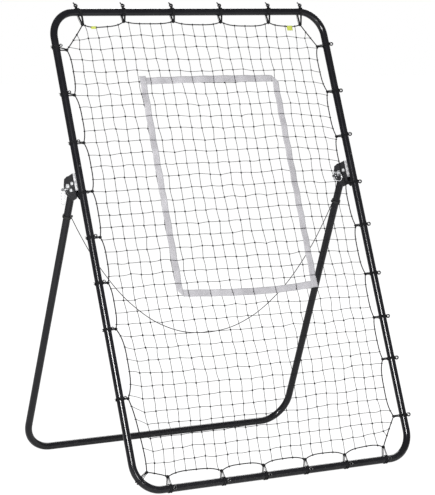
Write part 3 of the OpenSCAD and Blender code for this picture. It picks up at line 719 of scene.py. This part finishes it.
def netting_tree():
    """Twine along every line, a knot on each crossing and a loop on each end."""
    tree = bpy.data.node_groups.new("netting", "GeometryNodeTree")
    for name, kind in (("Lines", "Geometry"), ("Twine thickness", "Float"),
                       ("Knot length", "Float"), ("Loop width", "Float"), ("Front", "Vector"),
                       ("Seed", "Int"), ("Twine", "Material")):
        tree.interface.new_socket(name, in_out="INPUT", socket_type="NodeSocket" + kind)
    tree.interface.new_socket("Net", in_out="OUTPUT", socket_type="NodeSocketGeometry")
    net = Nodes(tree)
    given = net.add("NodeGroupInput").outputs
    lines = given["Lines"]
    thick = Value(net, given["Twine thickness"])

    def circle(resolution, radius):
        return net.add("GeometryNodeCurvePrimitiveCircle", None, Resolution=resolution,
                       Radius=radius).outputs["Curve"]

    def join(*pieces):
        joined = net.add("GeometryNodeJoinGeometry")
        for piece in pieces:
            net.plug(joined.inputs[0], piece)
        return joined.outputs[0]

    def on_marked(name, shape, scale):
        marked = net.add("GeometryNodeInputNamedAttribute", {"data_type": "BOOLEAN"}, name)
        heading = net.add("GeometryNodeInputNamedAttribute", {"data_type": "FLOAT_VECTOR"},
                          "heading")
        along = net.add("FunctionNodeAlignRotationToVector", {"axis": "Z"},
                        Vector=heading.outputs[0])
        faced = net.add("FunctionNodeAlignRotationToVector", {"axis": "Y", "pivot_axis": "Z"},
                        Rotation=along.outputs[0], Vector=given["Front"])
        return net.add("GeometryNodeInstanceOnPoints", None, Points=lines,
                       Selection=marked.outputs[0], Instance=shape, Rotation=faced.outputs[0],
                       Scale=scale).outputs[0]

    curves = net.add("GeometryNodeMeshToCurve", None, lines).outputs[0]
    strands = net.add("GeometryNodeCurveToMesh", None, Curve=curves,
                      Profile_Curve=circle(6, thick * 0.5), Fill_Caps=True).outputs[0]

    half = Value(net, given["Knot length"]) * 0.5
    ball = net.add("GeometryNodeMeshUVSphere", None, Segments=6, Rings=4, Radius=half).outputs[0]
    turns = [net.add("GeometryNodeTransform", None, Geometry=ball, Rotation=(0, lean, 0),
                     Translation=(0, out, 0), Scale=KNOT_SHAPE).outputs[0]
             for lean, out in KNOT_TURNS]
    size = net.add("FunctionNodeRandomValue", {"data_type": "FLOAT"}, None, None, *KNOT_SIZES,
                   Seed=given["Seed"])
    knots = on_marked("knot", join(*turns), size.outputs[1])

    ring = net.add("GeometryNodeCurveToMesh", None,
                   Curve=circle(10, Value(net, given["Loop width"]) * 0.5),
                   Profile_Curve=circle(5, thick * 0.5)).outputs[0]
    loops = on_marked("loop", ring, None)

    whole = net.add("GeometryNodeRealizeInstances", None, join(strands, knots, loops)).outputs[0]
    smooth = net.add("GeometryNodeSetShadeSmooth", None, whole).outputs[0]
    painted = net.add("GeometryNodeSetMaterial", None, Geometry=smooth, Material=given["Twine"])
    net.plug(net.add("NodeGroupOutput").inputs[0], painted.outputs[0])
    return tree


def knot_net(material, knots, stations, rng):
    lines = put("net_lines", net_lines(knots, stations, rng))
    grown = lines.modifiers.new("netting", "NODES")
    grown.node_group = netting_tree()
    sockets = {item.name: item.identifier for item in grown.node_group.interface.items_tree}
    for name, value in (("Twine thickness", TWINE_D), ("Knot length", KNOT_L),
                        ("Loop width", ROPE_D + TWINE_D), ("Front", tuple(FRONT)), ("Seed", 3),
                        ("Twine", material)):
        grown[sockets[name]] = value
    seen = lines.evaluated_get(bpy.context.evaluated_depsgraph_get())
    net = put("knotted_net", bpy.data.meshes.new_from_object(seen))
    bpy.data.objects.remove(lines)
    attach(net, "target_frame")
    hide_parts("net_mesh")


# ---- strike zone ribbon ----


def zone_hang(places):
    """(x, s) places on the ribbons, which hang a little out of square: the two upright ones lean
    to the left, the bottom one sags to the right of its middle and the top one is held up."""
    across = np.clip((places[:, 0] - ZONE_LEFT) / (ZONE_RIGHT - ZONE_LEFT), 0, 1)
    up = np.clip((places[:, 1] - ZONE_LOW) / (ZONE_HIGH - ZONE_LOW), 0, 1)
    lean = np.interp(across, (0, 1), ZONE_LEAN) * (1 - up)
    sag = (1 - up) * (ZONE_SAG * np.sin(math.pi * across ** SAG_POWER)
                      - ZONE_CURL * (1 - across) ** CURL_POWER)
    return places + np.column_stack((-lean, ZONE_RISE * up * np.sin(math.pi * across) - sag))


def ribbon_rows(start, end, cuts, crossings, axis, flip, lift):
    """Rows of points across one straight length, from one place to another in (x, s). A cut of 1
    ends it at 45 degrees for a fold and 0 ends it square. It passes before one of the strands
    that cross it and behind the next: their places are given along x (axis 0) or s (axis 1)."""
    start, end = np.array(start), np.array(end)
    long = np.linalg.norm(end - start)
    way = (end - start) / long
    out = np.array((-way[1], way[0]))
    columns = np.linspace(-0.5, 0.5, ACROSS_TAPE) * RIBBON_W
    square = np.full(ACROSS_TAPE, -RIBBON_W / 2)
    count = max(2, round(long / TAPE_STEP))
    rows = []
    for share in np.linspace(0, 1, count):
        first = columns if cuts[0] else square
        last = long - (columns if cuts[1] else square)
        along = first + (last - first) * share
        flat = zone_hang(start + way * along[:, None] + out * columns[:, None])
        number = np.interp(flat[:, axis], crossings, np.arange(len(crossings)))
        weave = WEAVE * np.cos(math.pi * number)
        eased = np.clip(np.minimum(along - first, last - along) / WEAVE_EASE, 0, 1)
        front = net_depth(flat[:, 0], flat[:, 1]) + weave * eased + lift(share)
        row = flat_to_frame(flat, front)
        rows.append(row[::-1] if flip else row)
    return rows


def fold_rows(before, after, out):
    """Rows that turn a ribbon over on itself between two layers, round the folded edge."""
    middle, half = (before + after) / 2, (after - before) / 2
    return [middle + half * -math.cos(t) + out * math.sin(t) * np.linalg.norm(half, axis=1)[:, None]
            for t in FOLD_ANGLES]


def ribbon_shell(rows):
    """A closed tape through rows of points across it, and its length."""
    grid = np.array(rows)
    n, k = grid.shape[:2]
    up = np.cross(np.gradient(grid, axis=0), np.gradient(grid, axis=1))
    up /= np.linalg.norm(up, axis=2)[:, :, None]
    skins = np.concatenate(((grid + up * TAPE_T / 2).reshape(-1, 3),
                            (grid - up * TAPE_T / 2).reshape(-1, 3)))
    steps = np.linalg.norm(np.diff(grid[:, k // 2], axis=0), axis=1)
    along = np.concatenate(([0], np.cumsum(steps)))

    def spot(i, j, back=0):
        return back * n * k + i * k + j

    faces = []
    for i in range(n - 1):
        for j in range(k - 1):
            faces.append((spot(i, j), spot(i + 1, j), spot(i + 1, j + 1), spot(i, j + 1)))
            faces.append(tuple(v + n * k for v in reversed(faces[-1])))
    rim = ([(i, 0) for i in range(n)] + [(n - 1, j) for j in range(1, k)]
           + [(i, k - 1) for i in range(n - 2, -1, -1)] + [(0, j) for j in range(k - 2, 0, -1)])
    for a, b in zip(rim, rim[1:] + rim[:1]):
        faces.append((spot(*b), spot(*a), spot(*a, 1), spot(*b, 1)))
    corners = [((v % (n * k)) % k / (k - 1), along[(v % (n * k)) // k]) for f in faces for v in f]
    return (skins, faces, corners), float(along[-1])


def sew_zone(material, knots):
    """Two lengths of ribbon: each turns one corner with a fold and laps over the other's end."""
    (first_column, last_column), (first_row, last_row) = TUCKED_COLUMNS, TUCKED_ROWS
    low_left, low_right = (ZONE_LEFT, ZONE_LOW), (ZONE_RIGHT, ZONE_LOW)
    high_left, high_right = (ZONE_LEFT, ZONE_HIGH), (ZONE_RIGHT, ZONE_HIGH)

    def length(name, first, fold, last, row, column, lap, hem=0):
        one = ribbon_rows(first, fold, (0, 1), knots[:, row, 0], 0, False,
                          lambda share: lap * LAYER * (1 - share) - share * LAYER)
        two = ribbon_rows(fold, last, (1, 0), knots[column, :, 1], 1, True,
                          lambda share: LAYER * (1 - share) - lap * LAYER * share)
        out = (np.array(fold) - (np.array(first) + np.array(last)) / 2) @ FRAME_AXES[:2]
        out /= np.linalg.norm(out)
        rows = one + fold_rows(one[-1], two[0], out) + two
        if hem:
            back = [row + np.array(FRONT) * HEM_GAP for row in two[:-hem:-1]]
            rows += fold_rows(two[-1], back[0], np.array(UP)) + back
        shell, long = ribbon_shell(rows)
        strip = join_swept(name, [shell], material)
        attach(strip, "target_frame")
        return strip

    upper = length("zone_ribbon_upper", high_left, high_right, low_right, last_row, last_column,
                   LAP)
    lower = length("zone_ribbon_lower", low_right, low_left, (ZONE_LEFT, ZONE_HIGH + HEM_RISE),
                   first_row, first_column, -LAP, hem=HEM_ROWS)
    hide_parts("zone_ribbon_top", "zone_ribbon_right")
    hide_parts("zone_ribbon_bottom", "zone_ribbon_left")


# ---- ties ----


def belt(inset, at_tube, at_rope, cord_r, over_rope, lift):
    """One cord's closed line round tube and rope, as places out from the tube's middle, along the
    tube, and to the front."""
    tube_reach = TUBE_R + TIE_GAP + cord_r
    rope_reach = ROPE_D / 2 + TIE_GAP + cord_r + over_rope
    touch = math.acos(-(tube_reach - rope_reach) / inset)
    points = [(tube_reach * math.cos(a), at_rope + (at_tube - at_rope) * (1 + math.cos(a)) / 2,
               tube_reach * math.sin(a)) for a in np.linspace(-touch, touch, 17)]
    inner = [(-inset + rope_reach * math.cos(a), at_rope, rope_reach * math.sin(a))
             for a in np.linspace(touch, 2 * math.pi - touch, 7)]

    def leg(a, b, face):
        return [np.array(a) + (np.array(b) - np.array(a)) * t
                + np.array((0, 0, face * lift * math.sin(math.pi * t))) for t in (0.25, 0.5, 0.75)]

    return np.array(points + leg(points[-1], inner[0], 1) + inner + leg(inner[-1], points[0], -1))


def hoop(middle, radius, normal, count=20):
    """A closed round line about a middle point."""
    a = 2 * math.pi * np.arange(count) / count
    turn = np.array(Vector(normal).to_track_quat("Z", "Y").to_matrix())
    ring = np.column_stack((radius * np.cos(a), radius * np.sin(a), np.zeros(count)))
    return ring @ turn.T + np.array(middle)


def tie_cords(inset, shift, lines):
    """One tie: the elastic's lines round tube and rope, the turns that hold it on the tube, and
    the knot on the rope. Each line has its place on the tube, on the rope, and its radius."""
    cords = [(belt(inset, at_tube, shift + at_rope, radius, (TIE_R - radius) * 5,
                   (TIE_R - radius) * 4), radius) for at_tube, at_rope, radius in lines]
    reach = TUBE_R + TIE_GAP + TIE_R
    for place in (-BAND_AT, BAND_AT):
        cords.append((hoop((0, place + shift / 2, 0), reach, (0.5 * shift / reach, 1, 0), 26),
                      TIE_R))
    reach = ROPE_D / 2 + TIE_GAP + TIE_R
    for place, over in ((-KNOT_AT, 0), (KNOT_AT, 0), (0, KNOT_OVER)):
        cords.append((hoop((-inset, shift + place, 0), reach + over, (0, 1, KNOT_LEAN * place),
                           12), TIE_R))
    return cords


def end_loop(side, slip):
    """The loop that ends the elastic: above the tube at the top, outside it on the right, before
    it at the bottom and inside it on the left."""
    (out, along, front), (right, up, ahead), (width, thickness), turned = TIE_LOOPS[side]
    line = hoop((out, along + slip, front), (width - thickness) / 2,
                (right, up + slip * turned, ahead))
    return line, thickness / 2


def tie_stubs(side, slip):
    """The short cords at the loop. On the left their ends follow its slip."""
    for places, radius in TIE_STUBS[side]:
        line = np.array(places) + (TUBE_FACE, 0, 0)
        if side == "left":
            line[-1, 1] += slip
        yield line, radius


def fit_ties(material, gloss):
    """The ties, and on each the loop that ends its elastic."""
    rng = np.random.default_rng(11)
    cords, loops = [], []
    for side, on_rope, on_tube, out, _ in tie_points():
        along = np.array((out[1], -out[0]))
        inset, shift = (on_tube - on_rope).dot(out), (on_rope - on_tube).dot(along)
        axes = np.array(((*out, 0), (*along, 0), (0, 0, 1.0)))
        slip = rng.normal(0, TIE_SPREAD)
        slant = (-SLANT_ON_TUBE - rng.uniform(-TIE_SPREAD, TIE_SPREAD), -SLANT_ON_ROPE, TIE_THIN_R)
        lines = TIE_CORDS[side] + ((slant,) if side in ("top", "right") else ())
        for pieces, bucket in (([*tie_cords(inset, shift, lines), *tie_stubs(side, slip)], cords),
                               ([end_loop(side, slip)], loops)):
            for line, radius in pieces:
                places = line @ axes + (*on_tube, 0)
                bucket.append(swept(on_frame(places), radius, sides=7, closed=len(line) > 3))
    for name, pieces, coat, replaced in (
            ("elastic_ties", cords, material,
             ("ties_top", "ties_right", "ties_bottom", "ties_left")),
            ("elastic_loops", loops, gloss, ("tie_rings",))):
        ties = join_swept(name, pieces, coat)
        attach(ties, "target_frame")
        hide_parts(*replaced)


# ---- tags ----


def sew_tags(material):
    """Two blank tapes, each folded over the rope and sewn to itself below it."""
    line, _, _ = rope_line()
    parts = []
    for x, width, drop in TAGS:
        top = line[np.argmin(np.hypot(line[:, 0] - x, line[:, 1] - SLOPE_L)), 1]
        turn = [(top + TAG_REACH * math.sin(a), TAG_REACH * math.cos(a))
                for a in np.linspace(0, math.pi, 9)]
        ends = list(zip((top - drop, top - min(drop - TAG_HEM, TAG_SEAM)), TAG_GAPS))
        sides = [*ends, *turn, *((s, -gap) for s, gap in reversed(ends))]
        rows = [flat_to_frame([(x + width * k, s) for k in np.linspace(-0.5, 0.5, 5)], front)
                for s, front in sides]
        parts.append(ribbon_shell(rows)[0])
    tags = join_swept("rope_tapes", parts, material)
    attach(tags, "target_frame")
    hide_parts("rope_tags")


# ---- light ----


def light_stage():
    scene = bpy.context.scene
    scene.view_settings.view_transform = "Standard"
    scene.world = bpy.data.worlds.new("studio")
    scene.world.use_nodes = True
    air = Nodes(scene.world.node_tree)
    air.tree.nodes.remove(air.tree.nodes["Background"])
    seen = air.add("ShaderNodeLightPath").outputs
    plain = Value(air, seen["Is Camera Ray"]).at_least(Value(air, seen["Is Transmission Ray"]))
    white, soft, dim = (air.add("ShaderNodeBackground", None, (1, 1, 1), strength).outputs[0]
                        for strength in (1.0, ROOM_LIGHT, GLOSS_LIGHT))
    lit = air.add("ShaderNodeMixShader", None, seen["Is Glossy Ray"], soft, dim)
    both = air.add("ShaderNodeMixShader", None, plain, lit.outputs[0], white)
    air.plug(air.tree.nodes["World Output"].inputs[0], both.outputs[0])

    mesh = bpy.data.meshes.new("floor")
    mesh.from_pydata(FLOOR, [], [range(4)])
    floor = put("floor", mesh)
    pale = Finish("pale_floor", Base_Color=(0.85, 0.85, 0.85), Roughness=0.9)
    seen = pale.add("ShaderNodeLightPath").outputs
    glow = pale.add("ShaderNodeEmission", None, (1, 1, 1), FLOOR_GLOW)
    both = pale.add("ShaderNodeMixShader", None, Value(pale, seen["Is Camera Ray"]) * GLOW_SHARE,
                    pale.shader.outputs[0], glow.outputs[0])
    pale.plug(pale.tree.nodes["Material Output"].inputs[0], both.outputs[0])
    mesh.materials.append(pale.material)

    for name, place, size, power in LAMPS:
        lamp = put(name, bpy.data.lights.new(name, "AREA"))
        lamp.data.size, lamp.data.energy = size, power
        lamp.location = place
        lamp.rotation_euler = (LAMPS_AIM - lamp.location).to_track_quat("-Z", "Y").to_euler()


# ---- all together ----


def coats():
    """The material of each slot, and the rubber of the ties' loops."""
    return {
        "tube": powder_coat(), "bracket": bracket_coat(), "pin": turned_steel(),
        "zinc": mottled("zinc_plate", ((0.78, 0.79, 0.80), (0.64, 0.65, 0.66)), (0.006, 3),
                        (0.25, 0.2), (0.00003, 0.6), (0.35, 0.7), (0.0006, 2), Metallic=0.4),
        "wire": mottled("bright_wire", ((0.70, 0.71, 0.73), (0.58, 0.59, 0.61)), (0.0015, 4),
                        (0.12, 0.12), (0.00002, 0.4), Metallic=0.5),
        "button": mottled("spring_steel", ((0.13, 0.132, 0.14), (0.09, 0.092, 0.096)), (0.003, 4),
                          (0.45, 0.2), (0.00003, 0.4), (0.3, 0.7), Metallic=1.0),
        "nylon": mottled("nylon", ((0.80, 0.79, 0.74), (0.72, 0.71, 0.66)), (0.003, 2),
                         (0.45, 0), (0.00003, 0.4), grain=(0.0007, 2), Subsurface_Weight=0.1),
        "plug": mottled("moulded_black", ((0.012, 0.012, 0.012), (0.022, 0.022, 0.022)),
                        (0.0008, 2), (0.42, 0.15), (0.00008, 0.6), Specular_IOR_Level=0.15),
        "rubber": mottled("rubber", ((0.006, 0.006, 0.007), (0.012, 0.012, 0.013)), (0.004, 2),
                          (0.16, 0.1), (0.00005, 0.4), Specular_IOR_Level=0.4),
        "twine": mottled("twine", ((0.005, 0.005, 0.006), (0.016, 0.016, 0.018)), (0.0005, 3),
                         (0.7, 0.2), (0.0002, 0.8), (0.45, 0.7), Specular_IOR_Level=0.12),
        "rope": laid_rope(),
        "cord": braided("cord_braid", 0.003), "elastic": braided("elastic_braid", 0.0025),
        "ribbon": woven_tape("ribbon_tape", (0.33, 0.325, 0.34), (0.215, 0.21, 0.223), 0.0012),
        "tag": woven_tape("tag_tape", (0.36, 0.40, 0.07), (0.25, 0.29, 0.05), 0.0008),
    }


def main():
    aim_camera()
    materials = coats()
    hang_cord(materials["cord"])
    lay_border_rope(materials["rope"])
    rng = np.random.default_rng(7)
    knots, stations = net_knots(rng)
    knot_net(materials["twine"], knots, stations, rng)
    sew_zone(materials["ribbon"], knots)
    fit_ties(materials["elastic"], materials["rubber"])
    sew_tags(materials["tag"])
    slots = {s["node"]: s["material_slot"] for s in frame["record"]["subparts"]}
    for node, piece in frame["nodes"].items():
        piece.data.materials.clear()
        piece.data.materials.append(materials.get(slots[node], materials["tube"]))
    light_stage()


main()
